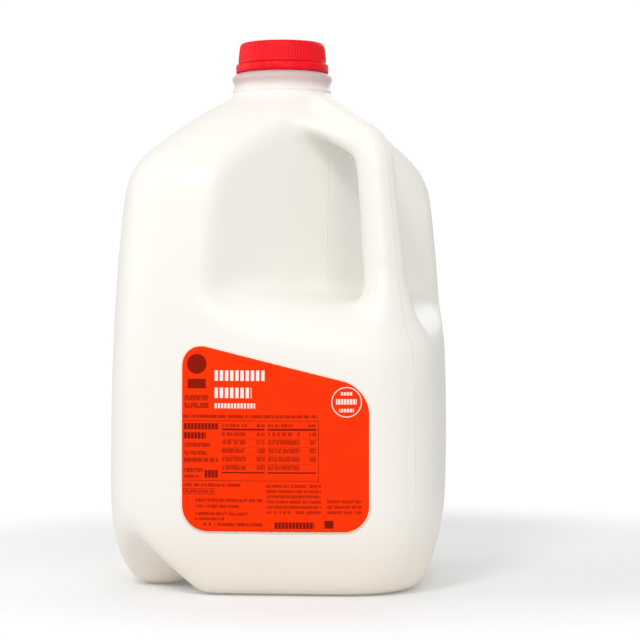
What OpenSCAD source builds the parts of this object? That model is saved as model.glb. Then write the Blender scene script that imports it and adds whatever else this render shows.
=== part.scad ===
// One-gallon milk jug: blow-moulded square body with a corner handle, filled with milk
// to the foot of the neck, closed by a ribbed snap cap, with a film label on one side.
// The handle points along +X, and its gap runs along Y. The neck's axis is the Z axis,
// and the jug stands on z = 0.

/* [Body] */
// Width across the flat sides at their widest
body_w = 151; // [130:1:170]
// Radius of the four upright corners
corner_r = 36; // [28:1:42]
// How far the middle of each flat side bulges out
bulge = 2.6; // [0:0.2:4]
// How far the sides lean in by the time they reach the shoulder
lean = 7.5; // [2:0.5:12]
// Height at which the sides turn into the shoulder
shoulder_z = 195; // [170:1:210]
// Radius of the turn from side to shoulder
shoulder_r = 29; // [16:1:34]
// How far the shoulder's slope is crowned
shoulder_crown = 1.3; // [0:0.1:3]
// Height of the rounded heel
heel_h = 42; // [30:1:50]
// How far the heel draws in at the foot
heel_in = 12; // [8:1:16]
// Wall thickness of the moulding
wall = 1.1; // [0.8:0.1:1.6]

/* [Foot] */
// Depth of the hollow under the base
base_rise = 5; // [2:0.5:9]
// Width of the flat rim left round that hollow
base_rim = 16; // [12:1:24]
// Distance from the axis at which the notch of a side corner starts
notch_in = 47; // [42:1:60]
// Slope of a notch's ridge, in degrees
notch_slope = 35; // [25:1:42]
// Slope of a notch's two flanks, in degrees
notch_flank = 31; // [30:1:50]

/* [Neck] */
// Outer radius of the neck's foot
neck_r = 23.2; // [21:0.1:26]
// Height at which the neck starts
neck_z = 228.5; // [215:0.5:245]
// Radius of the hollow turn from shoulder to neck
neck_fillet = 4; // [2:0.5:6]
// How far the neck's two rings stand out
bead = 0.9; // [0.3:0.1:1.5]
// Height from the neck's foot to the underside of the cap's band
neck_h = 11.5; // [9:0.5:16]

/* [Grip] */
// Distance from the axis to the grip's back wall, in the middle at the ledge
grip_x = 32; // [24:0.5:36]
// Lean of the grip's back wall, in degrees
grip_lean = 1; // [0:0.5:10]
// Draft of the back wall away from the middle, in degrees
draft = 0.5; // [0:0.5:8]
// Height at which the back wall meets the ledge, in the middle
ledge_z = 137; // [110:1:150]
// Slope of the ledge down to the corner, in degrees
ledge_slope = 11.5; // [4:0.5:20]
// Radius of the ledge's round outer edge
ledge_r = 21; // [8:1:24]

/* [Handle] */
// Width of the handle's section across the jug
handle_w = 16.5; // [14:0.5:22]
// Depth of the handle's section towards the jug
handle_d = 16; // [14:0.5:20]
// Radius of the handle's four long edges
handle_r = 6; // [3:0.5:6.5]
// Distance from the axis at which the handle's middle leaves the shoulder
root_x = 24; // [20:1:30]
// How far below the neck's foot it does so
root_drop = 5.5; // [5:0.5:12]
// Slope of the handle's top, in degrees
root_slope = 26.5; // [20:0.5:34]
// Distance from the axis to the handle's bend
bend_x = 64.8; // [58:0.2:70]
// Radius of the bend, on the handle's middle
bend_r = 16; // [10:1:24]
// Distance from the axis to the handle's middle at its foot
foot_x = 75.5; // [68:0.5:80]
// How much each side of the handle swells towards its foot
foot_flare = 9; // [0:1:10]
// How much each side of its underside swells towards the shoulder
root_flare = 13; // [0:1:16]

/* [Cap] */
// Outer radius of the cap's skirt at its foot
cap_r = 20.9; // [19:0.1:23]
// How much narrower the skirt is at its top
cap_taper = 1; // [0.2:0.1:2]
// Height of the skirt
cap_h = 9.9; // [8:0.1:16]
// Wall thickness of the cap
cap_wall = 1.3; // [0.8:0.1:1.6]
// Radius of the cap's rounded top edge
cap_edge = 1.9; // [0.8:0.1:3]
// Number of ribs round the skirt
cap_ribs = 90; // [48:6:108]
// How far the ribs stand out
rib_out = 0.3; // [0.2:0.05:0.5]
// How far the tamper band stands out beyond the skirt's foot
band_out = 1.1; // [0.2:0.1:2]
// Height of the tamper band
band_h = 3.9; // [3:0.1:6]
// Gap between skirt and band
band_gap = 0.3; // [0.2:0.1:0.8]
// Number of bridges that hold the band to the skirt
bridges = 16; // [6:1:20]

/* [Milk] */
// How far the milk's level lies above the neck's foot
fill_rise = 0.5; // [-20:0.5:4]

/* [Label] */
// Width of the label
label_w = 84; // [60:1:86]
// How far the label's middle lies off the middle of the side
label_shift = 3.5; // [-4:0.5:4]
// Height of the label's lower edge
label_z = 29.5; // [26:0.5:36]
// Height of the label's tall side
label_h = 85.5; // [60:0.5:86]
// How much lower the label's short side is
label_fall = 21; // [0:1:30]
// Radius of the label's corners
label_r = 12; // [4:1:14]
// Thickness of the label
label_t = 0.3; // [0.2:0.05:0.6]

/* [Fits] */
// Play between pieces that lie on each other, such as milk and wall
play = 0.3; // [0.2:0.05:0.5]

/* [Hidden] */

half_w = body_w / 2;
foot_w = half_w - heel_in;
side_w = half_w - lean;
band_z = neck_z + neck_h;
skirt_z = band_z + band_h + band_gap;
top_z = skirt_z + cap_h;
rim_z = top_z - cap_wall - play;
fill_z = neck_z + fill_rise;
mouth_r = cap_r - cap_taper - cap_wall - play;
band_r = cap_r + band_out;
far = 2 * body_w;

// Polar angles of one ring: sparse along the flat sides, dense round the corners
corner_steps = 6;
corner_from = atan((half_w - corner_r) / half_w);
quarter = concat([0, corner_from / 2],
    [for (i = [0:corner_steps]) corner_from + i * (90 - 2 * corner_from) / corner_steps],
    [90 - corner_from / 2]);
ring_angles = [for (q = [0:3]) for (a = quarter) 90 * q + a];

// How far the heel has drawn in at a height: a fuller curve than an ellipse
heel_power = 1.7;
function heel(z) = let (s = max(1 - z / heel_h, 0))
    heel_in * (1 - pow(1 - pow(s, heel_power), 1 / heel_power));

// Half width of the side at a height, leaning in more and more towards the shoulder
function side(z) = half_w - heel(z) - lean * pow(max(z - heel_h, 0) / (shoulder_z - heel_h), 2.6);

// Bulge in the middle of a flat side at a height: nothing at foot and shoulder
function swell(z) = (z <= 0 || z >= shoulder_z) ? 0 : bulge * pow(sin(180 * z / shoulder_z), 0.7);

// Corner radius that goes with a half width, so that the ring is a circle at the neck
function round_for(h) = neck_r + (corner_r - neck_r) * max(h - neck_r, 0) / (half_w - neck_r);

// Distance from the axis to a rounded square of half width h, corner radius r, bulge b
function reach(h, r, b, a) =
    let (t = abs(a - 90 * round(a / 90)), c = h - r, edge = h * tan(t))
    edge < c ? (h + b * (1 - pow(edge / c, 2))) / cos(t)
             : c * (cos(t) + sin(t)) + sqrt(max(r * r - pow(c * (cos(t) - sin(t)), 2), 0));

// Arc of radius r that rounds the corner p0-p1-p2, as n + 1 points
function turn(p0, p1, p2, r, n) =
    let (u = (p0 - p1) / norm(p0 - p1), v = (p2 - p1) / norm(p2 - p1),
         half = acos(u * v) / 2, mid = (u + v) / norm(u + v), c = p1 + mid * r / sin(half),
         way = u[0] * v[1] - u[1] * v[0] > 0 ? -1 : 1)
    [for (i = [0:n]) let (a = way * (90 - half) * (2 * i / n - 1))
        c - r * [mid[0] * cos(a) - mid[1] * sin(a), mid[0] * sin(a) + mid[1] * cos(a)]];

// Side view of the body as half widths and heights, from the foot to the neck's foot
heel_steps = 5;
side_steps = 4;
crown_steps = 4;
side_top = shoulder_z - 0.45 * shoulder_r;
shoulder_turn = turn([side(side_top), side_top], [side_w, shoulder_z], [neck_r, neck_z], shoulder_r, 3);
neck_turn = turn([side_w, shoulder_z], [neck_r, neck_z], [neck_r, rim_z], neck_fillet, 2);
slope = neck_turn[0] - shoulder_turn[3];
outline = concat(
    [for (i = [0:heel_steps]) let (z = heel_h * pow(i / heel_steps, 1.7)) [side(z), z]],
    [for (i = [1:side_steps]) let (z = heel_h + (side_top - heel_h) * i / side_steps) [side(z), z]],
    shoulder_turn,
    [for (i = [1:crown_steps - 1]) let (t = i / crown_steps) shoulder_turn[3] + t * slope
        + shoulder_crown * sin(180 * t) * [slope[1], -slope[0]] / norm(slope)],
    neck_turn);

// The same outline moved inwards by an inset
function shrunk(p, inset) = [for (i = [0:len(p) - 1])
    let (a = p[max(i - 1, 0)], b = p[min(i + 1, len(p) - 1)], d = (b - a) / norm(b - a))
    p[i] - inset * (i == 0 ? [0, -1] : [d[1], -d[0]])];

// The neck above the shoulder: two rings outside, plain inside
neck_outside = [
    [neck_r + bead * 0.6, neck_z + neck_h * 0.34],
    [neck_r - bead * 0.4, neck_z + neck_h * 0.56],
    [neck_r + bead, neck_z + neck_h * 0.74],
    [neck_r + bead, neck_z + neck_h * 0.82],
    [band_r - cap_wall - play, band_z],
    [mouth_r, band_z + band_h - play],
    [mouth_r, rim_z]];
function neck_inside(inset) = [
    [neck_r - bead - inset, neck_z + neck_h * 0.7],
    [mouth_r - inset, band_z],
    [mouth_r - inset, rim_z + 1]];

// Closed skin over m rings of n points each, taken one after another from a flat list
module loft(points, n) {
    m = len(points) / n;
    sides = [for (j = [0:m - 2]) for (i = [0:n - 1]) let (k = (i + 1) % n)
        for (f = [[j * n + i, (j + 1) * n + i, (j + 1) * n + k],
                  [j * n + i, (j + 1) * n + k, j * n + k]]) f];
    ends = [[for (i = [0:n - 1]) i], [for (i = [n - 1:-1:0]) (m - 1) * n + i]];
    polyhedron(points, concat(ends, sides));
}

// Upright skin over rings of [half width, corner radius, bulge, height]
module skin(rings) {
    rotate([0, 0, 45]) loft([for (g = rings) for (a = ring_angles)
        let (d = reach(g[0], g[1], g[2], a)) [d * cos(a), d * sin(a), g[3]]], len(ring_angles));
}

// The closed body without grip and handle
module body_form(inset) {
    s = shrunk(outline, inset);
    body = [for (i = [0:len(s) - 1])
        [s[i][0], min(round_for(outline[i][0]) - inset, s[i][0]), swell(outline[i][1]), s[i][1]]];
    neck = inset > 0 ? neck_inside(inset) : neck_outside;
    skin(concat(body, [for (q = neck) [q[0], q[0], 0, q[1]]]));
}

// Room in front of the back wall, seen from the side, as one long bar. Below the ledge
// its wall turns outwards, so that the ledge's round edge ends in a hollow slope.
module grip_bar(inset) {
    high = rim_z + 20 - ledge_z;
    low = -2;
    rotate([90, 0, 0]) linear_extrude(far, center = true) offset(delta = inset)
        polygon([[low * tan(grip_lean), low], [high * tan(grip_lean), high], [far, high],
                 [far, -ledge_r - far * tan(ledge_slope)], [ledge_r, -ledge_r]]);
}

// Top of the body under the grip: a round-edged block that slopes down to the corner.
// It starts a little wider than the body, so that the two cross at a clear edge.
module ledge_form(inset) {
    steps = 4;
    spare = 0.5;
    from_z = ledge_z - ledge_r;
    r = ledge_r - inset;
    multmatrix([[1, 0, 0, 0], [0, 1, 0, 0], [-tan(ledge_slope), 0, 1, grip_x * tan(ledge_slope)]])
        skin([for (i = [-1:steps]) let (a = 90 * max(i, 0) / steps, in = r * (1 - cos(a)))
            [side(from_z) + spare - inset - in, max(corner_r + spare - inset - in, 2),
             (swell(from_z) + spare) * cos(a), i < 0 ? -far : from_z + r * sin(a)]]);
}

// What the grip takes off the corner: two rooms with some draft, down to the ledge
module grip_cut(inset) {
    difference() {
        translate([grip_x, 0, ledge_z]) for (s = [-1, 1]) rotate([0, 0, s * draft]) grip_bar(inset);
        ledge_form(inset);
    }
}

// Middle line of the handle: straight off the shoulder, one bend, straight to the foot
root_p = [root_x, neck_z - root_drop];
bend_p = root_p + (bend_x - root_x) * [1, -tan(root_slope)];
foot_p = [foot_x, ledge_z - 25];
bend_steps = 4;
foot_steps = 5;
root_reach = 0.7;
bend_line = turn(root_p, bend_p, foot_p, bend_r, bend_steps);
handle_line = concat([root_p, (root_p + bend_line[0]) / 2], bend_line,
    [for (i = [1:foot_steps]) let (t = i / foot_steps) (1 - t) * bend_line[bend_steps] + t * foot_p]);

// Section of the handle at a point of that line: four corners with rounded edges,
// the two underneath spreading towards the shoulder, and all four towards the foot
function handle_ring(i, inset) =
    let (p = handle_line[i], last = len(handle_line) - 1,
         d = handle_line[min(i + 1, last)] - handle_line[max(i - 1, 0)], n = [-d[1], d[0]] / norm(d),
         low = max(bend_p[1] - p[1], 0) / (bend_p[1] - foot_p[1]),
         near = min(max(bend_x - p[0], 0) / (bend_x - root_x) / root_reach, 1),
         wide = handle_w / 2 + foot_flare * pow(low, 4) - handle_r,
         deep = handle_d / 2 + foot_flare / 3 * pow(low, 4) - handle_r,
         under = wide + root_flare * pow(near, 1.5), r = handle_r - inset,
         corners = [[deep, wide], [-deep, under], [-deep, -under], [deep, -wide]])
    [for (k = [0:3]) for (a = [0:45:90])
        let (q = corners[k] + r * [cos(90 * k + a), sin(90 * k + a)])
        [p[0] + q[0] * n[0], q[1], p[1] + q[0] * n[1]]];

module handle_form(inset) {
    loft([for (i = [len(handle_line) - 1:-1:0]) for (q = handle_ring(i, inset)) q], 12);
}

// Hollow under the base
module base_cut(inset) {
    w = foot_w - base_rim;
    r = corner_r - base_rim / 2;
    skin([[w + inset + base_rise, r, 0, -base_rise],
          [w + inset - base_rise, r - base_rise / 2, 0, base_rise + inset]]);
}

// Notch at the foot of one side corner: a ridge that rises outwards between two flanks
module notch_cut(inset) {
    run = 60;
    rise = run * tan(notch_slope);
    spread = rise / tan(notch_flank);
    below = 10;
    translate([0, notch_in, 1.5 * inset]) hull() polyhedron(
        [[0, 0, 0], [0, run, rise], [-spread, run, 0], [spread, run, 0],
         [0, -below, -below], [-spread, run, -below], [spread, run, -below]],
        [[0, 1, 2], [0, 3, 1], [4, 0, 2, 5], [4, 6, 3, 0], [1, 3, 6, 5, 2], [4, 5, 6]]);
}

// The whole moulding as a solid, shrunk by an inset: its outside, or the room in its wall
module form(inset) {
    difference() {
        body_form(inset);
        grip_cut(inset);
        base_cut(inset);
        for (s = [0, 180]) rotate([0, 0, s]) notch_cut(inset);
    }
    handle_form(inset);
}

// Holds its child at its own size, as one skin of flat facets
module as_moulded() {
    resize([0, 0, 0]) children();
}

module jug() {
    color([0.93, 0.92, 0.88]) as_moulded() difference() {
        form(0);
        form(wall);
    }
}

module milk() {
    color([0.97, 0.95, 0.90]) as_moulded() intersection() {
        form(wall + play);
        translate([-far / 2, -far / 2, 0]) cube([far, far, fill_z]);
    }
}

// Ring of upright ribs round the skirt, rooted a little inside its wall
module cap_grip() {
    rooted = 0.15;
    tall = cap_h - cap_edge;
    foot_r = cap_r + rib_out;
    linear_extrude(tall, scale = (foot_r - cap_taper * tall / cap_h) / foot_r) difference() {
        polygon([for (i = [0:2 * cap_ribs - 1])
            let (a = 180 * i / cap_ribs, r = i % 2 == 0 ? foot_r : cap_r - rooted) r * [cos(a), sin(a)]]);
        circle(cap_r - cap_wall / 2, $fn = 96);
    }
}

// Cap: ribbed skirt under a rounded top, with its tamper band on thin bridges
module cap() {
    top_r = cap_r - cap_taper;
    overlap = 0.4;
    color([0.88, 0.08, 0.12]) union() {
        rotate_extrude($fn = 96) polygon(concat(
            [[0, rim_z + play], [mouth_r + play, rim_z + play], [cap_r - cap_wall, skirt_z], [cap_r, skirt_z]],
            [for (a = [0:15:90]) [top_r - cap_edge + cap_edge * cos(a), top_z - cap_edge + cap_edge * sin(a)]],
            [[0, top_z]]));
        translate([0, 0, skirt_z]) cap_grip();
        translate([0, 0, band_z]) rotate_extrude($fn = 96)
            polygon([[band_r - cap_wall, 0], [band_r, 0], [band_r, band_h], [band_r - cap_wall, band_h]]);
        for (i = [0:bridges - 1]) rotate([0, 0, 360 * (i + 0.5) / bridges])
            translate([band_r - cap_wall, -0.5, band_z + band_h - overlap])
                cube([cap_wall - 2 * overlap, 1, band_gap + 2 * overlap]);
    }
}

// Label: film on the bulged side, built from upright strips that shorten round the corners
module label() {
    arc_steps = 3;
    mid_steps = 6;
    rows = 8;
    left = label_shift - label_w / 2;
    arc = [for (i = [0:arc_steps]) label_r * (1 - cos(90 * i / arc_steps))];
    mid = label_w - 2 * label_r;
    across = concat(arc, [for (i = [1:mid_steps - 1]) label_r + mid * i / mid_steps],
        [for (i = [arc_steps:-1:0]) label_w - arc[i]]);
    function short(d) = label_r - sqrt(max(label_r * label_r - pow(label_r - min(d, label_r), 2), 0));
    function film(d, t, out) =
        let (cut = short(min(d, label_w - d)), tall = label_h - label_fall * d / label_w,
             z = label_z + cut + t * (tall - 2 * cut), h = side(z), x = left + d)
        [x, -h - swell(z) * (1 - pow(x / (h - round_for(h)), 2)) - out, z];
    n = rows + 1;
    m = len(across);
    points = [for (out = [play / 2, play / 2 + label_t]) for (d = across) for (j = [0:rows])
        film(d, j / rows, out)];
    function quad(a, b, c, d) = [[a, c, b], [a, d, c]];
    back = m * n;
    cells = [for (i = [0:m - 2]) for (j = [0:rows - 1]) i * n + j];
    faces = concat(
        [for (k = cells) for (f = quad(k, k + 1, k + n + 1, k + n)) f],
        [for (k = cells) for (f = quad(back + k, back + k + n, back + k + n + 1, back + k + 1)) f],
        [for (i = [0:m - 2]) let (k = i * n) for (f = quad(k, k + n, back + k + n, back + k)) f],
        [for (i = [0:m - 2]) let (k = i * n + rows) for (f = quad(k, back + k, back + k + n, k + n)) f],
        [for (j = [0:rows - 1]) for (f = quad(j, back + j, back + j + 1, j + 1)) f],
        [for (j = [0:rows - 1]) let (k = (m - 1) * n + j)
            for (f = quad(k, k + 1, back + k + 1, back + k)) f]);
    color([0.95, 0.25, 0.05]) rotate([0, 0, 45]) polyhedron(points, faces);
}

jug();
milk();
cap();
label();
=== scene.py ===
"""One-gallon plastic milk jug: the moulded jug, its milk, the ribbed cap and the printed film label."""
import functools
import math

import bmesh
import bpy
import mathutils.kdtree
from mathutils import Matrix, Vector


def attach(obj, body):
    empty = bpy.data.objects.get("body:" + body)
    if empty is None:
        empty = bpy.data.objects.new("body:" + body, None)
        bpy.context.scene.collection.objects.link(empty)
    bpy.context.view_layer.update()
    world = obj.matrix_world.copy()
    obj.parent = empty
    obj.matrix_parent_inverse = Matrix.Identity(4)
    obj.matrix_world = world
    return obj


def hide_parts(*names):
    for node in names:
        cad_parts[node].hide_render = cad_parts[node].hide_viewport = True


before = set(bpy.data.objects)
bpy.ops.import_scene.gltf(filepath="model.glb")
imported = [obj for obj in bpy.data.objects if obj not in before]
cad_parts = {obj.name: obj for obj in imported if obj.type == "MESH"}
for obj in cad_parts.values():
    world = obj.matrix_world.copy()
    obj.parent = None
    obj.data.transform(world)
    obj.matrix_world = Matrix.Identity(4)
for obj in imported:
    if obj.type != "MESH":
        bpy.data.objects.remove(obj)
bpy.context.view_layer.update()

bl_info = {
    "name": "Milk Jug",
    "version": (1, 0, 0),
    "blender": (4, 5, 0),
    "location": "View3D > Sidebar > Milk Jug",
    "description": "Makes a one-gallon plastic milk jug with its milk, cap and label",
    "category": "Add Mesh",
}

MM = 0.001
BODY = "root"
UP = Vector((0.0, 0.0, 1.0))
VIEW_AZIMUTH = math.radians(50)
VIEW_TURN = Matrix.Rotation(VIEW_AZIMUTH, 3, "Z")
TURN = 2 * math.pi
SIDE_TURN = Matrix.Rotation(math.pi / 4, 3, "Z")

# Rings of the neck: how far each stands out from the neck's radius and above its foot, in millimetres
NECK_RINGS = (
    (0.0, 1.7), (0.22, 2.0), (0.32, 2.4), (0.25, 2.9), (0.0, 3.4), (-0.3, 3.9), (-0.48, 4.5), (-0.52, 5.2),
    (-0.45, 5.9), (-0.2, 6.6), (0.15, 7.2), (0.42, 7.8), (0.55, 8.4), (0.5, 9.0), (0.3, 9.5), (-0.1, 10.0),
    (-0.8, 10.6), (-1.8, 11.1), (-2.9, 11.6), (-3.6, 12.6), (-4.6, 14.0),
)
MOUTH_Z = 252.5 * MM
MOUTH_IN = -4.8
# Times that the fused skin is relaxed, and how far below the neck's foot each pass ends
RELAXING = ((30, 13.5 * MM), (8, 5.5 * MM), (4, -2.5 * MM))
SKIN_TOP = 1.5 * MM
KEPT_SHARE = 0.55

# The floor fades out between two squared distances from a point just behind the jug
FLOOR_MIDDLE = VIEW_TURN @ Vector((0.04, 0.09, 0.0))
FLOOR_FADE = (0.02, 0.085)
FLOOR_SHARE = 0.88
# Each lamp's place as seen from the camera, its size in metres and its power in watts
LAMPS = {
    "key": ((-0.5, -1.3, 1.3), 0.4, 9),
    "front": ((0.35, -1.65, 0.75), 1.4, 7),
    "left": ((-1.4, 0.1, 0.6), 1.2, 5),
    "back": ((0.4, 1.6, 0.8), 1.2, 5),
}
LAMP_AIM = Vector((0, 0, 0.12))
STUDIO_LIGHT = 0.62
CAMERA_PLACE = (0, -1.0, 0.132)
CAMERA_LENS = 118.0
CAMERA_SHIFT = (0.0589, -0.0305)


# ---------------------------------------------------------------- properties


def length(name, text, size):
    """A length in millimetres, kept in metres."""
    return bpy.props.FloatProperty(
        name=name, description=text, default=size * MM, min=0.0, soft_max=0.3, unit="LENGTH", precision=4
    )


def angle(name, text, degrees):
    """An angle in degrees, kept in radians."""
    return bpy.props.FloatProperty(
        name=name, description=text, default=math.radians(degrees), min=0.0, max=math.pi / 2, subtype="ANGLE"
    )


def count(name, text, number):
    return bpy.props.IntProperty(name=name, description=text, default=number, min=1, max=400)


def colour(name, text, red, green, blue):
    """A colour given as it looks on screen, 0 to 255, kept as linear light."""
    linear = [((c / 255 + 0.055) / 1.055) ** 2.4 if c > 10 else c / 3295 for c in (red, green, blue)]
    return bpy.props.FloatVectorProperty(
        name=name, description=text, default=linear, min=0.0, max=1.0, size=3, subtype="COLOR"
    )


class JugSizes(bpy.types.PropertyGroup):
    """Sizes of the moulded jug and its milk"""

    body_w: length("Body width", "Width across the flat sides at their widest", 151)
    corner_r: length("Corner radius", "Radius of the four upright corners", 36)
    bulge: length("Bulge", "How far the middle of each flat side bulges out", 2.6)
    lean: length("Lean", "How far the sides lean in by the time they reach the shoulder", 7.5)
    shoulder_z: length("Shoulder height", "Height at which the sides turn into the shoulder", 195)
    shoulder_r: length("Shoulder radius", "Radius of the turn from side to shoulder", 29)
    shoulder_crown: length("Shoulder crown", "How far the shoulder's slope is crowned", 1.3)
    heel_h: length("Heel height", "Height of the rounded heel", 42)
    heel_in: length("Heel depth", "How far the heel draws in at the foot", 12)
    wall: length("Wall", "Wall thickness of the moulding", 1.1)
    base_rise: length("Base rise", "Depth of the hollow under the base", 5)
    base_rim: length("Base rim", "Width of the flat rim left round that hollow", 16)
    notch_in: length("Notch start", "Distance from the axis at which a foot notch starts", 47)
    notch_slope: angle("Notch slope", "Slope of a foot notch's ridge", 35)
    notch_flank: angle("Notch flank", "Slope of a foot notch's two flanks", 31)
    neck_r: length("Neck radius", "Outer radius of the neck's foot", 23.2)
    neck_z: length("Neck height", "Height at which the neck starts", 228.5)
    neck_fillet: length("Neck fillet", "Radius of the hollow turn from shoulder to neck", 4)
    grip_x: length("Grip distance", "Distance from the axis to the grip's back wall at the ledge", 32)
    grip_lean: angle("Grip lean", "Lean of the grip's back wall", 1)
    draft: angle("Draft", "Draft of the back wall away from the middle", 0.5)
    ledge_z: length("Ledge height", "Height at which the back wall meets the ledge", 137)
    ledge_slope: angle("Ledge slope", "Slope of the ledge down to the corner", 11.5)
    ledge_r: length("Ledge radius", "Radius of the ledge's round outer edge", 21)
    handle_w: length("Handle width", "Width of the handle's section across the jug", 16.5)
    handle_d: length("Handle depth", "Depth of the handle's section towards the jug", 16)
    handle_r: length("Handle edge", "Radius of the handle's four long edges", 5.8)
    root_x: length("Root distance", "Distance from the axis at which the handle leaves the shoulder", 24)
    root_drop: length("Root drop", "How far below the neck's foot it does so", 6)
    root_slope: angle("Root slope", "Slope of the handle's top", 26.5)
    root_flare: length("Root flare", "How much each side of its underside swells to the shoulder", 13)
    bend_x: length("Bend distance", "Distance from the axis to the handle's bend", 64.8)
    bend_r: length("Bend radius", "Radius of the bend, on the handle's middle", 17)
    foot_x: length("Handle foot", "Distance from the axis to the handle's middle at its foot", 75.5)
    foot_flare: length("Foot flare", "How much each side of the handle swells to its foot", 9)
    fill_z: length("Milk level", "Height of the milk's level", 229.4)
    voxel: length("Grain", "Size of the cells that the body's pieces are fused in", 1.6)


class CapSizes(bpy.types.PropertyGroup):
    """Sizes of the cap and its tamper band"""

    skirt_r: length("Skirt radius", "Outer radius of the skirt at its foot", 20.9)
    taper: length("Taper", "How much narrower the skirt is at its top", 1.0)
    skirt_z: length("Skirt foot", "Height of the skirt's lower edge", 244.2)
    top_z: length("Top", "Height of the cap's top", 254.1)
    wall: length("Cap wall", "Wall thickness of the cap", 1.3)
    edge_r: length("Edge radius", "Radius of the rounded top edge", 1.2)
    rib_out: length("Rib height", "How far the ribs stand out", 0.2)
    ribs: count("Ribs", "Number of ribs round the skirt", 90)
    band_r: length("Band radius", "Outer radius of the tamper band", 22.0)
    band_z: length("Band foot", "Height of the band's lower edge", 240.0)
    band_h: length("Band height", "Height of the tamper band", 4.05)
    bridges: count("Bridges", "Number of bridges that hold the band", 16)


class LabelSizes(bpy.types.PropertyGroup):
    """Sizes of the film label"""

    width: length("Width", "Width of the label", 84)
    shift: length("Shift", "How far its middle lies off the middle of the side", 3.5)
    low_z: length("Lower edge", "Height of the lower edge", 29.5)
    height: length("Height", "Height of the tall side", 85.5)
    fall: length("Fall", "How much lower the short side is", 21)
    corner_r: length("Corner radius", "Radius of the corners", 12)
    film: length("Film", "Thickness of the film", 0.25)
    edge: length("Pale edge", "Width of the unprinted edge", 0.7)


class Colours(bpy.types.PropertyGroup):
    """Colours of the jug, as they look on screen"""

    plastic: colour("Plastic", "Polyethylene with milk behind it", 246, 243, 236)
    # Mixed in at random as mottling, and over the heel as painted shade: the jug's foot drawn darker and
    # warmer where less light reaches
    plastic_mottle_and_heel_shade: colour("Plastic, thick", "Polyethylene where the moulding is thick", 241, 233, 220)
    # Painted reflection: the empty neck's pale plastic tinted pink by the red cap's light
    neck: colour("Neck", "Empty polyethylene under the cap", 236, 208, 206)
    milk: colour("Milk", "Whole milk", 252, 250, 244)
    cap: colour("Cap", "Moulded red of the cap", 245, 8, 28)
    label: colour("Label field", "Printed field of the label", 253, 54, 0)
    label_deep: colour("Label field, deeper", "The field's slight mottling", 247, 46, 0)
    film: colour("Film", "Unprinted film at the label's edge", 252, 232, 208)
    print_dark: colour("Dark print", "Small print on the label", 118, 14, 4)
    print_pale: colour("Pale print", "Bars and ring on the label", 252, 238, 232)
    floor: colour("Floor", "Plain pale floor", 242, 242, 242)


# ------------------------------------------------------------------- meshes


def arc_turn(p0, p1, p2, radius, steps):
    """Points of the arc that rounds the corner p0-p1-p2."""
    u, v = (p0 - p1).normalized(), (p2 - p1).normalized()
    half = u.angle(v) / 2
    mid = (u + v).normalized()
    centre = p1 + mid * radius / math.sin(half)
    way = -1 if u.cross(v) > 0 else 1
    sweep = [way * (math.pi / 2 - half) * (2 * i / steps - 1) for i in range(steps + 1)]
    return [centre - radius * (Matrix.Rotation(a, 2) @ mid) for a in sweep]


def loft(stations, sides, place, closed=False):
    """Skin through stations: a circle is extruded from one to the next, and place puts each of its points."""
    bm = bmesh.new()
    slot = bm.verts.layers.int.new("slot")
    for i, v in enumerate(bmesh.ops.create_circle(bm, segments=sides, radius=1.0)["verts"]):
        v[slot] = i
    rim = first = list(bm.edges)
    for n, station in enumerate(stations):
        if n:
            rim = grown_rim(bm, rim)
        for v in {v for e in rim for v in e.verts}:
            v.co = place(station, v[slot])
    if closed:
        bmesh.ops.bridge_loops(bm, edges=first + rim)
    else:
        bmesh.ops.holes_fill(bm, edges=[e for e in bm.edges if e.is_boundary], sides=0)
    bmesh.ops.recalc_face_normals(bm, faces=bm.faces[:])
    return bm


def grown_rim(bm, rim):
    """Extrudes a closed rim of edges and gives the new one."""
    grown = bmesh.ops.extrude_edge_only(bm, edges=rim)["geom"]
    return [e for e in grown if isinstance(e, bmesh.types.BMEdge) and e.is_boundary]


def new_object(name, bm):
    mesh = bpy.data.meshes.new(name)
    bm.to_mesh(mesh)
    bm.free()
    piece = bpy.data.objects.new(name, mesh)
    bpy.context.scene.collection.objects.link(piece)
    return piece


def drop(piece):
    mesh = piece.data
    bpy.data.objects.remove(piece)
    bpy.data.meshes.remove(mesh)


def modified(bm, *changes):
    """The mesh after a row of modifiers, each given as its type and settings."""
    piece = new_object("shape", bm)
    for kind, settings in changes:
        modifier = piece.modifiers.new(kind, kind)
        for key, value in settings.items():
            setattr(modifier, key, value)
    graph = bpy.context.evaluated_depsgraph_get()
    mesh = bpy.data.meshes.new_from_object(piece.evaluated_get(graph))
    out = bmesh.new()
    out.from_mesh(mesh)
    bpy.data.meshes.remove(mesh)
    drop(piece)
    return out


def combined(bm, operation, *tools):
    """The mesh after a boolean with each tool in turn."""
    parts = [new_object("tool", tool) for tool in tools]
    steps = [("BOOLEAN", {"object": p, "operation": operation, "solver": "MANIFOLD"}) for p in parts]
    out = modified(bm, *steps)
    for p in parts:
        drop(p)
    if not out.faces:
        raise RuntimeError("a boolean left nothing")
    return out


def prism(corners, reach):
    """Upright outline in X and Z, extruded along Y to both sides."""
    bm = bmesh.new()
    face = bm.faces.new([bm.verts.new((x, -reach, z)) for x, z in corners])
    grown = bmesh.ops.extrude_face_region(bm, geom=[face])["geom"]
    moved = [v for v in grown if isinstance(v, bmesh.types.BMVert)]
    bmesh.ops.translate(bm, verts=moved, vec=(0, 2 * reach, 0))
    bmesh.ops.recalc_face_normals(bm, faces=bm.faces[:])
    return bm


def smoothed(bm, times, chosen):
    """Relaxes the chosen points a number of times."""
    verts = [v for v in bm.verts if chosen(v.co)]
    for _ in range(times):
        bmesh.ops.smooth_vert(
            bm, verts=verts, factor=0.5, use_axis_x=True, use_axis_y=True, use_axis_z=True
        )


def finish_piece(name, bm, look, node=None):
    """Makes a piece of the object: its smooth shading, finish, body and the CAD node that it stands for."""
    for f in bm.faces:
        f.smooth = True
    piece = new_object(name, bm)
    piece.data.materials.append(look)
    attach(piece, BODY)
    if node:
        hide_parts(node)
    return piece


# --------------------------------------------------------------- jug's form


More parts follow.
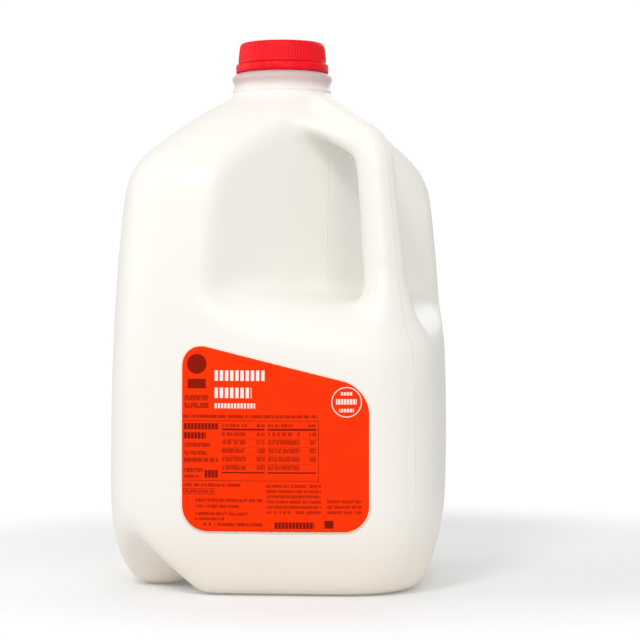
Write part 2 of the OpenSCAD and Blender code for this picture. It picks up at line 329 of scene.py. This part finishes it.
class BodyForm:
    """Side view and plan of the jug's body, worked out from its sizes."""

    SIDES = 176
    HEEL_POWER = 1.7
    LEAN_POWER = 2.6
    SWELL_POWER = 0.7

    def __init__(self, s):
        self.s = s
        self.half = s.body_w / 2

    def side(self, z):
        """Half width of the side at a height: heel below, leaning in above."""
        s = self.s
        low = max(1 - z / s.heel_h, 0)
        heel = s.heel_in * (1 - (1 - low**self.HEEL_POWER) ** (1 / self.HEEL_POWER))
        high = max(z - s.heel_h, 0) / (s.shoulder_z - s.heel_h)
        return self.half - heel - s.lean * high**self.LEAN_POWER

    def swell(self, z):
        """Bulge in the middle of a flat side at a height."""
        if not 0 < z < self.s.shoulder_z:
            return 0.0
        return self.s.bulge * math.sin(math.pi * z / self.s.shoulder_z) ** self.SWELL_POWER

    def corner(self, half):
        """Corner radius that goes with a half width, so that the ring is a circle at the neck."""
        s = self.s
        share = max(half - s.neck_r, 0) / (self.half - s.neck_r)
        return s.neck_r + (s.corner_r - s.neck_r) * share

    def reach(self, half, radius, bulge, a):
        """Distance from the axis to a rounded square at a polar angle."""
        t = abs(a - math.pi / 2 * round(a / (math.pi / 2)))
        c = half - radius
        edge = half * math.tan(t)
        if edge < c:
            return (half + bulge * (1 - (edge / c) ** 2)) / math.cos(t)
        across = c * (math.cos(t) - math.sin(t))
        return c * (math.cos(t) + math.sin(t)) + math.sqrt(max(radius**2 - across**2, 0))

    def ring_point(self, station, i):
        """Point i of a ring given by half width, corner radius, bulge and height."""
        half, radius, bulge, z = station
        a = TURN * i / self.SIDES
        d = self.reach(half, min(radius, half), bulge, a)
        return SIDE_TURN @ Vector((d * math.cos(a), d * math.sin(a), z))

    def stations(self):
        """Rings of the body from the foot to the neck."""
        s = self.s
        side_top = s.shoulder_z - 0.45 * s.shoulder_r
        shoulder = Vector((self.half - s.lean, s.shoulder_z))
        foot = Vector((s.neck_r, s.neck_z))
        heights = [s.heel_h * (i / 18) ** 1.7 for i in range(18)]
        heights += [s.heel_h + (side_top - s.heel_h) * i / 40 for i in range(40)]
        line = [Vector((self.side(z), z)) for z in heights]
        bend = arc_turn(Vector((self.side(side_top), side_top)), shoulder, foot, s.shoulder_r, 12)
        rise = arc_turn(shoulder, foot, foot + Vector((0, s.neck_z)), s.neck_fillet, 6)
        slope = rise[0] - bend[-1]
        out = Vector((slope.y, -slope.x)).normalized()
        shares = (0.17, 0.33, 0.5, 0.67, 0.83)
        crown = [bend[-1] + slope * t + out * s.shoulder_crown * math.sin(math.pi * t) for t in shares]
        line += bend + crown + rise + [foot + Vector((0, 8 * MM))]
        return [(p.x, self.corner(p.x), self.swell(p.y), p.y) for p in line]


def grip_bar(s, side):
    """Room in front of the grip's back wall on one side."""
    far = 2 * s.body_w
    high, low = s.neck_z - s.ledge_z + 60 * MM, -2 * MM
    bar = prism(
        [
            (low * math.tan(s.grip_lean), low),
            (high * math.tan(s.grip_lean), high),
            (far, high),
            (far, -s.ledge_r - far * math.tan(s.ledge_slope)),
            (s.ledge_r, -s.ledge_r),
        ],
        far,
    )
    place = Matrix.Translation((s.grip_x, 0, s.ledge_z)) @ Matrix.Rotation(side * s.draft, 4, "Z")
    bmesh.ops.transform(bar, matrix=place, verts=bar.verts[:])
    return bar


def ledge_block(s, form):
    """Top of the body under the grip: a round-edged block that slopes down to the corner."""
    spare = 0.5 * MM
    base_z = s.ledge_z - s.ledge_r
    half, radius, bulge = form.side(base_z) + spare, s.corner_r + spare, form.swell(base_z) + spare
    stations = [(half, radius, bulge, -2 * s.body_w)]
    for i in range(15):
        a = math.pi / 2 * i / 14
        inward, rise = s.ledge_r * (1 - math.cos(a)), s.ledge_r * math.sin(a)
        stations.append((half - inward, max(radius - inward, 2 * MM), bulge * math.cos(a), base_z + rise))
    block = loft(stations, form.SIDES, form.ring_point)
    slope = math.tan(s.ledge_slope)
    shear = Matrix(((1, 0, 0, 0), (0, 1, 0, 0), (-slope, 0, 1, s.grip_x * slope), (0, 0, 0, 1)))
    bmesh.ops.transform(block, matrix=shear, verts=block.verts[:])
    return block


def handle_bar(s):
    """The handle: a rounded section swept off the shoulder, round one bend and down to its foot."""
    root = Vector((s.root_x, s.neck_z - s.root_drop))
    bend = root + (s.bend_x - s.root_x) * Vector((1, -math.tan(s.root_slope)))
    foot = Vector((s.foot_x, s.ledge_z - 25 * MM))
    arc = arc_turn(root, bend, foot, s.bend_r, 14)
    line = [root.lerp(arc[0], i / 8) for i in range(8)] + arc
    line += [arc[-1].lerp(foot, i / 16) for i in range(1, 17)]
    stations = []
    for i, p in enumerate(line):
        along = line[min(i + 1, len(line) - 1)] - line[max(i - 1, 0)]
        stations.append((p, Vector((-along.y, along.x)).normalized()))
    edge_steps = 6

    def place(station, i):
        p, out = station
        low = max(bend.y - p.y, 0) / (bend.y - foot.y)
        near = min(max(s.bend_x - p.x, 0) / (s.bend_x - s.root_x) / 0.7, 1)
        wide = s.handle_w / 2 + s.foot_flare * low**4 - s.handle_r
        deep = s.handle_d / 2 + s.foot_flare / 3 * low**4 - s.handle_r
        under = wide + s.root_flare * near**1.5
        quarter, step = divmod(i, edge_steps)
        corners = ((deep, wide), (-deep, under), (-deep, -under), (deep, -wide))
        a = math.pi / 2 * (quarter + step / (edge_steps - 1))
        rise = corners[quarter][0] + s.handle_r * math.cos(a)
        across = corners[quarter][1] + s.handle_r * math.sin(a)
        return Vector((p.x + rise * out.x, across, p.y + rise * out.y))

    return loft(stations, 4 * edge_steps, place)


def base_hollow(s, form):
    """Room of the hollow under the base."""
    half = s.body_w / 2 - s.heel_in - s.base_rim
    radius = s.corner_r - s.base_rim / 2
    rise = s.base_rise
    stations = [(half + rise, radius, 0, -rise), (half - rise, radius - rise / 2, 0, rise)]
    return loft(stations, form.SIDES, form.ring_point)


def foot_notch(s, side):
    """Room of the notch at the foot of one side corner: a ridge between two flanks."""
    run, below = 60 * MM, 10 * MM
    rise = run * math.tan(s.notch_slope)
    spread = rise / math.tan(s.notch_flank)
    bm = bmesh.new()
    for p in ((0, 0, 0), (0, run, rise), (-spread, run, 0), (spread, run, 0),
              (0, -below, -below), (-spread, run, -below), (spread, run, -below)):
        bm.verts.new((p[0], side * (s.notch_in + p[1]), p[2]))
    bmesh.ops.convex_hull(bm, input=bm.verts[:])
    bmesh.ops.recalc_face_normals(bm, faces=bm.faces[:])
    return bm


def jug_skin(s):
    """Outer skin of the whole moulding, open at the top of the neck's foot."""
    form = BodyForm(s)
    grip = combined(grip_bar(s, 1), "UNION", grip_bar(s, -1))
    grip = combined(grip, "DIFFERENCE", ledge_block(s, form))
    body = loft(form.stations(), form.SIDES, form.ring_point)
    body = combined(body, "DIFFERENCE", grip, base_hollow(s, form), foot_notch(s, 1), foot_notch(s, -1))
    body = combined(body, "UNION", handle_bar(s))
    skin = modified(body, ("REMESH", {"mode": "VOXEL", "voxel_size": s.voxel, "adaptivity": 0.0}))

    def on_bar(co):
        """Whether a point is on the handle, whose edges the first pass leaves sharp."""
        return co.x > 50 * MM and abs(co.y) < 16 * MM and co.z > 150 * MM

    for n, (times, below) in enumerate(RELAXING):
        top, spared = s.neck_z - below, n == 0
        smoothed(skin, times, lambda co: co.z < top and not (spared and on_bar(co)))
    bmesh.ops.bisect_plane(
        skin, geom=skin.verts[:] + skin.edges[:] + skin.faces[:], dist=1e-6,
        plane_co=(0, 0, s.neck_z + SKIN_TOP), plane_no=UP, clear_outer=True,
    )
    return skin


def add_neck(bm, s):
    """Draws the neck up from the skin's open rim: two rings outside, then the mouth under the cap."""
    rim = [e for e in bm.edges if e.is_boundary]
    for out, rise in NECK_RINGS + ((MOUTH_IN, (MOUTH_Z - s.neck_z) / MM),):
        rim = grown_rim(bm, rim)
        for v in {v for e in rim for v in e.verts}:
            flat = Vector((v.co.x, v.co.y, 0)).normalized() * (s.neck_r + out * MM)
            v.co = flat + UP * (s.neck_z + rise * MM)


def milk_body(bm, s):
    """Milk: the skin drawn in until it just reaches into the wall, cut at the level."""
    bm.normal_update()
    inset = 0.65 * s.wall
    for v, normal in [(v, v.normal.copy()) for v in bm.verts]:
        v.co -= normal * inset
    cut = bmesh.ops.bisect_plane(
        bm, geom=bm.verts[:] + bm.edges[:] + bm.faces[:], dist=1e-6,
        plane_co=(0, 0, s.fill_z), plane_no=UP, clear_outer=True,
    )
    bmesh.ops.holes_fill(bm, edges=[e for e in cut["geom_cut"] if isinstance(e, bmesh.types.BMEdge)], sides=0)
    return bm


# ------------------------------------------------------------------ finishes


class Socket:
    """A node's output, on which Python's operators add Math nodes."""

    def __init__(self, look, socket):
        self.look, self.socket = look, socket

    def __add__(self, other):
        return self.look.maths("ADD", self, other)

    def __sub__(self, other):
        return self.look.maths("SUBTRACT", self, other)

    def __rsub__(self, other):
        return self.look.maths("SUBTRACT", other, self)

    def __mul__(self, other):
        return self.look.maths("MULTIPLY", self, other)

    def __truediv__(self, other):
        return self.look.maths("DIVIDE", self, other)

    def __abs__(self):
        return self.look.maths("ABSOLUTE", self)

    def __lt__(self, other):
        return self.look.maths("LESS_THAN", self, other)

    __radd__ = __add__
    __rmul__ = __mul__

    def most(self, other):
        return self.look.maths("MAXIMUM", self, other)

    def ramp(self, start, end):
        """0 below start and 1 above end, smooth between."""
        settings = {"interpolation_type": "SMOOTHSTEP"}
        return self.look.node("ShaderNodeMapRange", settings, self, start, end, 0.0, 1.0)


class Look:
    """A material with its shader, and the methods that add nodes to it."""

    def __init__(self, name, **constants):
        self.material = bpy.data.materials.new(name)
        self.material.use_nodes = True
        self.tree = self.material.node_tree
        self.shader = self.tree.nodes["Principled BSDF"]
        for key, value in constants.items():
            self.shader.inputs[key.replace("_", " ")].default_value = value
        place = self.tree.nodes.new("ShaderNodeTexCoord")
        self.place = Socket(self, place.outputs["Object"])

    def node(self, kind, settings, *values, out=0):
        """Adds a node, sets it, fills its inputs in order and gives one of its outputs."""
        node = self.tree.nodes.new(kind)
        for key, value in settings.items():
            setattr(node, key, value)
        for slot, value in zip(node.inputs, values):
            if isinstance(value, Socket):
                self.tree.links.new(value.socket, slot)
            elif value is not None:
                slot.default_value = value
        return Socket(self, node.outputs[out])

    def maths(self, operation, *values):
        return self.node("ShaderNodeMath", {"operation": operation}, *values)

    def axes(self, turn=0.0):
        """X, Y and Z of the piece's own place, turned about Z."""
        vector = self.place
        if turn:
            vector = self.node("ShaderNodeMapping", {}, vector, (0, 0, 0), (0, 0, turn))
        return [self.node("ShaderNodeSeparateXYZ", {}, vector, out=i) for i in range(3)]

    def noise(self, size, detail=2.0):
        """Cloudy pattern of a grain size in metres, about 0.5."""
        return self.node("ShaderNodeTexNoise", {"noise_dimensions": "3D"}, self.place, None, 1 / size, detail)

    def mix(self, share, first, second):
        """Colour mix; the node's colour inputs are its seventh and eighth."""
        values = (share, None, None, None, None, None, tuple_of(first), tuple_of(second))
        return self.node("ShaderNodeMix", {"data_type": "RGBA"}, *values, out=2)

    def wear(self, name, value):
        self.tree.links.new(value.socket, self.shader.inputs[name])

    def bump(self, height, distance, strength=1.0):
        """Raises the surface by height times a distance."""
        node = self.tree.nodes.new("ShaderNodeBump")
        node.inputs["Strength"].default_value = strength
        node.inputs["Distance"].default_value = distance
        self.tree.links.new(height.socket, node.inputs["Height"])
        self.tree.links.new(node.outputs["Normal"], self.shader.inputs["Normal"])


def tuple_of(value):
    """A colour as four numbers; a socket is left as it is."""
    return value if isinstance(value, Socket) else (*value, 1.0)


def plastic_look(c, s):
    """Natural polyethylene: creamy over the milk, see-through in the empty neck, with the red cap's light
    painted into the neck's colour as a pink reflection.
    """
    look = Look("jug_plastic", IOR=1.5, Coat_Weight=0.1, Coat_Roughness=0.25)
    _, y, z = look.axes()
    cloud = look.noise(0.03)
    # Painted shade: below the heel's top the colour turns to the darker, warmer plastic, standing for the
    # dimmer light at the jug's foot
    heel_shade = 1 - z.ramp(6 * MM, s.heel_h)
    body = look.mix((cloud.ramp(0.3, 0.8) * 0.08).most(heel_shade), c.plastic, c.plastic_mottle_and_heel_shade)
    level = z.ramp(s.fill_z - 0.2 * MM, s.fill_z + 9 * MM)
    # Above the milk's level the colour turns to the neck's pink, a painted reflection of the red cap
    look.wear("Base Color", look.mix(level, body, c.neck))
    look.wear("Alpha", 1 - level * 0.3)
    look.wear("Roughness", 0.36 + look.noise(0.004, 3.0) * 0.14)
    grain = look.noise(0.0016, 3.0) + look.noise(0.011, 2.0) * 1.6
    seam = 1 - abs(y).ramp(0.1 * MM, 0.45 * MM)
    look.bump(grain * 0.05 + seam * 0.3, 0.00035)
    return look.material


def milk_look(c):
    look = Look("milk", IOR=1.35, Coat_Weight=0.3, Coat_Roughness=0.08)
    cloud = look.noise(0.02)
    look.wear("Base Color", look.mix(cloud, c.milk, [v * 0.97 for v in c.milk]))
    look.wear("Roughness", 0.2 + cloud * 0.1)
    return look.material


def cap_look(c):
    """Moulded red: a fine grain, a touch darker in random clouds."""
    look = Look("cap_plastic", Specular_IOR_Level=0.18)
    cloud = look.noise(0.006, 3.0)
    deep = [v * 0.8 for v in c.cap]
    look.wear("Base Color", look.mix(cloud.ramp(0.3, 0.8) * 0.5, c.cap, deep))
    look.wear("Roughness", 0.36 + cloud * 0.12)
    look.bump(look.noise(0.0008, 3.0), 0.0001, 0.6)
    return look.material


# Print of the label in millimetres: from and to across the side's middle, from and to above the floor,
# and for blocks the pitch of their strokes
TITLE_BLOCKS = (
    (-23.2, -0.4, 96.6, 101.2, 2.3), (-23.2, -6.8, 89.0, 93.6, 2.3), (-23.2, -5.2, 84.5, 86.7, 1.45),
)
MARK_DISC = (-31.3, 104.0, 4.4)
MARK_BAR = (-35.4, -27.2, 93.2, 97.4)
EMBLEM = (35.0, 87.3)
EMBLEM_RADII = (6.7, 6.25)
EMBLEM_BARS = ((30.4, 39.4, 86.3, 88.7), (32.4, 37.6, 90.3, 91.7), (31.8, 38.2, 82.9, 84.4))
TABLE = (-38.0, 22.8, 52.5, 79.1)
NOTE_BOX = (-37.4, -23.3, 46.4, 49.0)
LINED = ((-20, -0.9, 58, 72), (0.3, 21.8, 58, 72))
LINE_START = 59.85
LINE_PITCH = 3.72
RULES = (
    (-20, -0.95, 74.8, 75.6), (0.3, 21.8, 74.8, 75.6), (-20, -0.95, 55.9, 56.5), (0.3, 21.8, 55.9, 56.5),
    (25.3, 29.2, 31.7, 35.2),
)
HEADINGS = (
    (-37.3, -21.3, 75.1, 77.9), (-37.3, -27.1, 71.0, 73.8), (-27.7, -21.8, 53.8, 57.3),
    (3.1, 20.8, 31.5, 34.4),
)
PRINT_ROWS = (
    (-37.4, 22.3, 80.2, 81.6), (-36.9, -26.2, 87.8, 90.2), (-36.9, -25.9, 84.5, 86.9),
    (-37.1, -25.0, 67.4, 69.2), (-37.1, -26.8, 63.8, 65.6), (-37.1, -21.6, 60.7, 62.6),
    (-37.1, -28.3, 56.2, 58.0), (-37.1, -30.0, 53.8, 54.9), (-20.0, -8.9, 76.3, 77.6),
    (-4.4, -0.9, 76.3, 77.6), (0.5, 11.5, 76.3, 77.6), (18.2, 21.7, 76.3, 77.6),
    (-37.4, -11.7, 49.9, 51.3), (-36.6, -24.0, 47.1, 48.4), (-31.8, -2.0, 43.2, 44.6),
    (-31.8, -12.3, 40.6, 41.9), (-32.0, -8.5, 37.3, 38.6), (-32.2, -19.1, 35.0, 36.2),
    (-29.7, -2.0, 32.5, 33.9),
)
PRINT_BLOCKS = (
    (-20.0, -9.3, 57.4, 74.0, 3.72), (-4.6, -0.8, 57.4, 74.0, 3.72), (0.5, 14.5, 57.4, 74.0, 3.72),
    (18.7, 21.7, 61.1, 74.0, 3.72), (-0.3, 24.0, 38.1, 51.3, 2.31), (26.4, 41.5, 38.1, 44.4, 2.4),
)
PRINT_PITCH = 1.9

# Attribute that holds each point's distance from the film's edge, and the steps that the edge is measured in
EDGE_GAP = "edge_gap"
EDGE_STEPS = 400


def label_look(c, s):
    """Printed film: bars, rows and boxes stand for the print, in two inks on one field."""
    look = Look("label_film", Specular_IOR_Level=0.06, Coat_Weight=0.0)
    across, up = [look.axes(-math.pi / 4)[i] / MM for i in (0, 2)]

    def bar(x0, x1, z0, z1):
        """1 inside an upright box given in millimetres."""
        dx = abs(across - (x0 + x1) / 2) / ((x1 - x0) / 2)
        dz = abs(up - (z0 + z1) / 2) / ((z1 - z0) / 2)
        return dx.most(dz) < 1.0

    def outline(x0, x1, z0, z1, line):
        return bar(x0, x1, z0, z1) - bar(x0 + line, x1 - line, z0 + line, z1 - line)

    def disc(x, z, radius):
        dx, dz = across - x, up - z
        return dx * dx + dz * dz < radius * radius

    def stripes(value, start, pitch, ink):
        """1 over the first share of every pitch."""
        return look.maths("FRACT", (value - start) / pitch) < ink

    def most(masks):
        return functools.reduce(Socket.most, masks)

    row = look.maths("FLOOR", up / PRINT_PITCH)
    place = look.node("ShaderNodeCombineXYZ", {}, across, row * 3.1, 0.0)
    type_noise = look.node("ShaderNodeTexNoise", {"noise_dimensions": "2D"}, place, None, 1.15, 1.0)
    strokes = type_noise.ramp(0.36, 0.42) * (0.55 + 0.45 * stripes(across, 0, 0.72, 0.62))

    pale = most([bar(*box[:4]) * stripes(across, box[0], box[4], 0.64) for box in TITLE_BLOCKS])
    emblem = disc(*EMBLEM, EMBLEM_RADII[0]) - disc(*EMBLEM, EMBLEM_RADII[1])
    emblem = emblem.most(most([bar(*box) for box in EMBLEM_BARS]) * stripes(across, 0, 1.3, 0.78))
    dark = most([bar(*box) for box in RULES] + [outline(*TABLE, 0.22), outline(*NOTE_BOX, 0.25)])
    dark = dark.most(most([bar(*box) for box in HEADINGS]) * (0.25 + 0.75 * stripes(across, 0.3, 1.55, 0.74)))
    thin = most([bar(*box) for box in LINED]) * stripes(up, LINE_START, LINE_PITCH, 0.05)
    lines = most([bar(*box) for box in PRINT_ROWS]) * strokes
    blocks = most([bar(*box[:4]) * stripes(up, box[2], box[4], 0.58) for box in PRINT_BLOCKS]) * strokes
    mark = disc(*MARK_DISC).most(bar(*MARK_BAR))
    ink = dark.most(mark * 0.95).most(lines * 0.78).most(blocks * 0.68).most(thin * 0.5)
    cloud = look.noise(0.012, 3.0)
    field = look.mix(cloud.ramp(0.35, 0.8) * 0.35, c.label, c.label_deep)
    printed = look.mix(ink * 0.92, field, c.print_dark)
    printed = look.mix(pale.most(emblem * 0.9), printed, c.print_pale)
    gap = look.node("ShaderNodeAttribute", {"attribute_name": EDGE_GAP}, out=2)
    look.wear("Base Color", look.mix(gap.ramp(s.edge * 0.7, s.edge), c.film, printed))
    look.wear("Roughness", 0.4 + cloud * 0.1 - ink * 0.06)
    look.bump(look.noise(0.006) * 0.6 + ink * 0.12, 0.0001)
    return look.material


# ------------------------------------------------------------------- pieces


class JUG_OT_body(bpy.types.Operator):
    """Makes the moulded jug and the milk inside it"""

    bl_idname = "milk_jug.body"
    bl_label = "Jug and Milk"

    def execute(self, context):
        s, c = context.scene.jug_sizes, context.scene.jug_colours
        skin = jug_skin(s)
        skin = modified(skin, ("DECIMATE", {"decimate_type": "COLLAPSE", "ratio": KEPT_SHARE}))
        milk = skin.copy()
        add_neck(skin, s)
        bmesh.ops.recalc_face_normals(skin, faces=skin.faces[:])
        jug = modified(skin, ("SOLIDIFY", {"thickness": s.wall, "offset": -1.0}))
        finish_piece("moulded_jug", jug, plastic_look(c, s), "jug")
        add_neck(milk, s)
        bmesh.ops.recalc_face_normals(milk, faces=milk.faces[:])
        finish_piece("milk_fill", milk_body(milk, s), milk_look(c), "milk")
        return {"FINISHED"}


class JUG_OT_cap(bpy.types.Operator):
    """Makes the ribbed cap and its tamper band"""

    bl_idname = "milk_jug.cap"
    bl_label = "Cap and Band"

    def execute(self, context):
        s, c = context.scene.cap_sizes, context.scene.jug_colours
        look = cap_look(c)
        finish_piece("ribbed_cap", ribbed_cap(s), look, "cap")
        finish_piece("tamper_band", tamper_band(s), look)
        return {"FINISHED"}


def ribbed_cap(s):
    """The cap as one skin: ceiling, inner wall, lower edge, ribbed skirt, round edge and top."""
    per_rib = 6
    inner = s.skirt_r - s.taper - s.wall
    ceiling = s.top_z - s.wall
    foot, head = s.skirt_z, s.top_z - s.edge_r

    def skirt(z):
        return s.skirt_r - s.taper * (z - foot) / (s.top_z - foot)

    stations = [(2 * MM, ceiling, 0), (inner * 0.7, ceiling, 0), (inner, ceiling, 0)]
    stations += [(s.skirt_r - s.wall, foot, 0), (s.skirt_r - 0.25 * MM, foot, 0)]
    stations += [(skirt(foot), foot + 0.25 * MM, 0)]
    for i in range(9):
        t = i / 8
        z = foot + 0.5 * MM + t * (head - foot - 0.4 * MM)
        stations.append((skirt(z), z, min(1, 5 * t, 6 * (1 - t))))
    for i in range(1, 9):
        a = math.pi / 2 * i / 8
        out = s.skirt_r - s.taper - s.edge_r + s.edge_r * math.cos(a)
        stations.append((out, head + s.edge_r * math.sin(a), 0))
    sunk = s.top_z - 0.2 * MM
    stations += [(inner * 0.82, s.top_z, 0), (inner * 0.8, sunk, 0), (2 * MM, sunk, 0)]

    def place(station, i):
        radius, z, rib = station
        crest = max(0.0, math.cos(TURN * (i % per_rib) / per_rib)) if rib else 0
        radius += s.rib_out * rib * crest
        a = TURN * i / (per_rib * s.ribs)
        return Vector((radius * math.cos(a), radius * math.sin(a), z))

    return loft(stations, per_rib * s.ribs, place)


def tamper_band(s):
    """The band: a ring with a shallow groove and a bridge at each place where it tears off."""
    sides = 288
    round_r = 0.35 * MM
    low, high = s.band_z, s.band_z + s.band_h
    inner = s.band_r - s.wall
    profile = [
        (inner, low + round_r, 0), (inner + round_r, low, 0), (s.band_r - round_r, low, 0),
        (s.band_r, low + round_r, 0), (s.band_r, low + 0.35 * s.band_h, 0.3),
        (s.band_r, low + 0.6 * s.band_h, 1), (s.band_r - 0.1 * MM, high - round_r, 1),
        (s.band_r - 1.5 * round_r, high, 1), (inner + round_r, high, 0), (inner, high - round_r, 0),
    ]
    every = sides // s.bridges

    def place(station, i):
        radius, z, groove = station
        off = abs((i + every // 2) % every - every // 2)
        radius -= groove * max(0.0, 1 - off / 2.5) * 0.3 * MM
        a = TURN * (i + 0.5 * every) / sides
        return Vector((radius * math.cos(a), radius * math.sin(a), z))

    band = loft(profile, sides, place, closed=True)
    for i in range(s.bridges):
        made = bmesh.ops.create_cube(band, size=1.0)["verts"]
        size = Matrix.Diagonal((s.wall - 0.4 * MM, 0.9 * MM, 1.2 * MM, 1.0))
        at = Matrix.Translation((s.skirt_r - s.wall / 2, 0, high + 0.15 * MM))
        turn = Matrix.Rotation(TURN * (i + 0.5) / s.bridges, 4, "Z")
        bmesh.ops.transform(band, matrix=turn @ at @ size, verts=made)
    return band


class JUG_OT_label(bpy.types.Operator):
    """Makes the printed film label on the side"""

    bl_idname = "milk_jug.label"
    bl_label = "Label"

    def execute(self, context):
        s, c = context.scene.label_sizes, context.scene.jug_colours
        form = BodyForm(context.scene.jug_sizes)
        bm = bmesh.new()
        bmesh.ops.create_grid(bm, x_segments=72, y_segments=48, size=1.0)
        rim = mathutils.kdtree.KDTree(4 * EDGE_STEPS)
        for i in range(EDGE_STEPS):
            t = i / EDGE_STEPS
            for n, (share, rise) in enumerate(((t, 0), (t, 1), (0, t), (1, t))):
                rim.insert(film_point(s, form, share, rise), 4 * i + n)
        rim.balance()
        edge_gap = bm.verts.layers.float.new(EDGE_GAP)
        for v in bm.verts:
            v.co = film_point(s, form, (v.co.x + 1) / 2, (v.co.y + 1) / 2)
            v[edge_gap] = rim.find(v.co)[2]
        bmesh.ops.recalc_face_normals(bm, faces=bm.faces[:])
        outward = SIDE_TURN @ Vector((0, -1, 0))
        if sum((f.normal.dot(outward) for f in bm.faces)) < 0:
            bmesh.ops.reverse_faces(bm, faces=bm.faces[:])
        film = modified(bm, ("SOLIDIFY", {"thickness": s.film, "offset": -1.0}))
        finish_piece("film_label", film, label_look(c, s), "label")
        return {"FINISHED"}


def film_point(s, form, share, rise):
    """A point of the label's outer face: share across it and rise up it, both 0 to 1."""
    d = s.width * (1 - math.cos(math.pi * share)) / 2
    near = min(d, s.width - d, s.corner_r)
    short = s.corner_r - math.sqrt(max(s.corner_r**2 - (s.corner_r - near) ** 2, 0))
    tall = s.height - s.fall * d / s.width
    z = s.low_z + short + rise * (tall - 2 * short)
    half = form.side(z)
    x = s.shift - s.width / 2 + d
    flat = half - form.corner(half)
    out = half + form.swell(z) * (1 - (x / flat) ** 2) + 0.15 * MM + s.film
    return SIDE_TURN @ Vector((x, -out, z))


class JUG_OT_stage(bpy.types.Operator):
    """Makes the floor, the lights and the camera"""

    bl_idname = "milk_jug.stage"
    bl_label = "Stage"

    def execute(self, context):
        scene, c = context.scene, context.scene.jug_colours
        scene.view_settings.view_transform = "Standard"
        floor = bmesh.new()
        bmesh.ops.create_grid(floor, x_segments=8, y_segments=8, size=6.0)
        piece = new_object("floor", floor)
        look = Look("floor", Roughness=0.9)
        look.wear("Base Color", look.mix(look.noise(0.4), c.floor, [v * 0.99 for v in c.floor]))
        x, y, _ = look.axes()
        x, y = x - FLOOR_MIDDLE.x, y - FLOOR_MIDDLE.y
        look.wear("Alpha", (1 - (x * x + y * y).ramp(*FLOOR_FADE)) * FLOOR_SHARE)
        piece.data.materials.append(look.material)

        for name, (place, size, power) in LAMPS.items():
            data = bpy.data.lights.new(name, "AREA")
            data.shape, data.size, data.energy = "DISK", size, power
            lamp = bpy.data.objects.new(name, data)
            scene.collection.objects.link(lamp)
            lamp.location = VIEW_TURN @ Vector(place)
            lamp.rotation_euler = (LAMP_AIM - lamp.location).to_track_quat("-Z", "Y").to_euler()

        world = bpy.data.worlds.new("studio")
        world.use_nodes = True
        nodes, links = world.node_tree.nodes, world.node_tree.links
        ground = nodes["Background"]
        seen = nodes.new("ShaderNodeBackground")
        path, blend = nodes.new("ShaderNodeLightPath"), nodes.new("ShaderNodeMixShader")
        ground.inputs["Color"].default_value = (1, 1, 1, 1)
        ground.inputs["Strength"].default_value = STUDIO_LIGHT
        seen.inputs["Color"].default_value = (1, 1, 1, 1)
        links.new(path.outputs["Is Camera Ray"], blend.inputs[0])
        links.new(ground.outputs[0], blend.inputs[1])
        links.new(seen.outputs[0], blend.inputs[2])
        links.new(blend.outputs[0], nodes["World Output"].inputs["Surface"])
        scene.world = world

        camera = bpy.data.objects.new("camera", bpy.data.cameras.new("camera"))
        scene.collection.objects.link(camera)
        camera.location = VIEW_TURN @ Vector(CAMERA_PLACE)
        camera.rotation_euler = (math.pi / 2, 0, VIEW_AZIMUTH)
        camera.data.lens = CAMERA_LENS
        camera.data.shift_x, camera.data.shift_y = CAMERA_SHIFT
        scene.camera = camera
        return {"FINISHED"}


# -------------------------------------------------------------------- panel


class JUG_PT_panel(bpy.types.Panel):
    """Lists the jug's pieces and sizes"""

    bl_idname = "JUG_PT_panel"
    bl_label = "Milk Jug"
    bl_space_type = "VIEW_3D"
    bl_region_type = "UI"
    bl_category = "Milk Jug"

    def draw(self, context):
        for operator in OPERATORS:
            self.layout.operator(operator.bl_idname)
        for group in GROUPS:
            box = self.layout.box()
            for key in GROUPS[group].__annotations__:
                box.prop(getattr(context.scene, group), key)


GROUPS = {"jug_sizes": JugSizes, "cap_sizes": CapSizes, "label_sizes": LabelSizes, "jug_colours": Colours}
OPERATORS = (JUG_OT_stage, JUG_OT_body, JUG_OT_cap, JUG_OT_label)


def register():
    for cls in (*GROUPS.values(), *OPERATORS, JUG_PT_panel):
        bpy.utils.register_class(cls)
    for name, group in GROUPS.items():
        setattr(bpy.types.Scene, name, bpy.props.PointerProperty(type=group))


def unregister():
    for name in GROUPS:
        delattr(bpy.types.Scene, name)
    for cls in (JUG_PT_panel, *reversed(OPERATORS), *reversed(GROUPS.values())):
        bpy.utils.unregister_class(cls)


def main():
    register()
    bpy.ops.milk_jug.stage()
    bpy.ops.milk_jug.body()
    bpy.ops.milk_jug.cap()
    bpy.ops.milk_jug.label()


if __name__ == "__main__":
    main()
